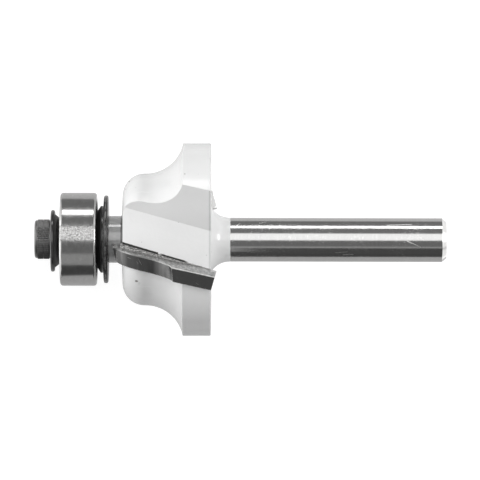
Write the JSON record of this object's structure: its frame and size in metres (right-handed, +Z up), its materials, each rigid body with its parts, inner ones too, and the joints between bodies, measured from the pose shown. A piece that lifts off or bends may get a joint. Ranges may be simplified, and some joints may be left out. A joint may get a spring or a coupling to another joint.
{
  "type": "router bit",
  "caption": "Bearing-guided router bit with a Roman ogee profile: round shank, white painted head with skewed flutes, brazed carbide tips and a shielded ball-bearing pilot.",
  "frame": {"origin": "on the floor, under the middle of the bounding box of the lying bit", "axes": "+Z up; +X along the floor from the bearing end towards the shank end; the bit axis lies in the XZ plane and rises 20.8 degrees towards the shank"},
  "size_m": [0.0542, 0.0262, 0.0271],
  "materials": {
    "body_steel": "white paint on the head, ground bare steel on shank and collar",
    "carbide": "ground tungsten carbide, dark grey satin",
    "bearing_steel": "satin ground bearing steel",
    "race_steel": "ground bearing steel",
    "ball_steel": "polished",
    "cage_steel": "pressed steel",
    "shield_steel": "pressed steel",
    "wire_steel": "spring wire",
    "black_washer": "black oxide, satin",
    "black_screw": "black oxide, worn on the knurl"
  },
  "bodies": {
    "cutter": {"cutter_body": "body_steel", "carbide_tip_1": "carbide", "carbide_tip_2": "carbide", "bearing_inner_ring": "race_steel", "rear_washer": "black_washer", "front_washer": "black_washer", "cap_screw": "black_screw"},
    "outer_race": {"bearing_outer_ring": "bearing_steel", "bearing_shield_front": "shield_steel", "bearing_shield_rear": "shield_steel", "shield_snap_ring_front": "wire_steel", "shield_snap_ring_rear": "wire_steel"},
    "cage": {"bearing_cage": "cage_steel"},
    "ball_1": {"bearing_ball_1": "ball_steel"},
    "ball_2": {"bearing_ball_2": "ball_steel"},
    "ball_3": {"bearing_ball_3": "ball_steel"},
    "ball_4": {"bearing_ball_4": "ball_steel"},
    "ball_5": {"bearing_ball_5": "ball_steel"},
    "ball_6": {"bearing_ball_6": "ball_steel"},
    "ball_7": {"bearing_ball_7": "ball_steel"}
  },
  "joints": [
    {"name": "bearing_spin", "type": "hinge", "parent": "cutter", "child": "outer_race", "pos_m": [-0.0207, 0, 0.0067], "axis": [0.9345, 0, 0.3559], "continuous": true},
    {"name": "cage_spin", "type": "hinge", "parent": "cutter", "child": "cage", "pos_m": [-0.0207, 0, 0.0067], "axis": [0.9345, 0, 0.3559], "continuous": true},
    {"name": "ball_1_spin", "type": "hinge", "parent": "cage", "child": "ball_1", "pos_m": [-0.02218, -0.00133, 0.01059], "axis": [0.9345, 0, 0.3559], "continuous": true},
    {"name": "ball_2_spin", "type": "hinge", "parent": "cage", "child": "ball_2", "pos_m": [-0.02126, -0.00408, 0.00815], "axis": [0.9345, 0, 0.3559], "continuous": true},
    {"name": "ball_3_spin", "type": "hinge", "parent": "cage", "child": "ball_3", "pos_m": [-0.01991, -0.00376, 0.00463], "axis": [0.9345, 0, 0.3559], "continuous": true},
    {"name": "ball_4_spin", "type": "hinge", "parent": "cage", "child": "ball_4", "pos_m": [-0.01916, -0.00061, 0.00266], "axis": [0.9345, 0, 0.3559], "continuous": true},
    {"name": "ball_5_spin", "type": "hinge", "parent": "cage", "child": "ball_5", "pos_m": [-0.01958, 0.003, 0.00374], "axis": [0.9345, 0, 0.3559], "continuous": true},
    {"name": "ball_6_spin", "type": "hinge", "parent": "cage", "child": "ball_6", "pos_m": [-0.02084, 0.00435, 0.00705], "axis": [0.9345, 0, 0.3559], "continuous": true},
    {"name": "ball_7_spin", "type": "hinge", "parent": "cage", "child": "ball_7", "pos_m": [-0.022, 0.00242, 0.0101], "axis": [0.9345, 0, 0.3559], "continuous": true}
  ],
  "couplings": [
    {"joint": "cage_spin", "follows": "bearing_spin", "ratio": 0.63635},
    {"joint": "ball_1_spin", "follows": "bearing_spin", "ratio": 1.6974},
    {"joint": "ball_2_spin", "follows": "bearing_spin", "ratio": 1.6974},
    {"joint": "ball_3_spin", "follows": "bearing_spin", "ratio": 1.6974},
    {"joint": "ball_4_spin", "follows": "bearing_spin", "ratio": 1.6974},
    {"joint": "ball_5_spin", "follows": "bearing_spin", "ratio": 1.6974},
    {"joint": "ball_6_spin", "follows": "bearing_spin", "ratio": 1.6974},
    {"joint": "ball_7_spin", "follows": "bearing_spin", "ratio": 1.6974}
  ]
}
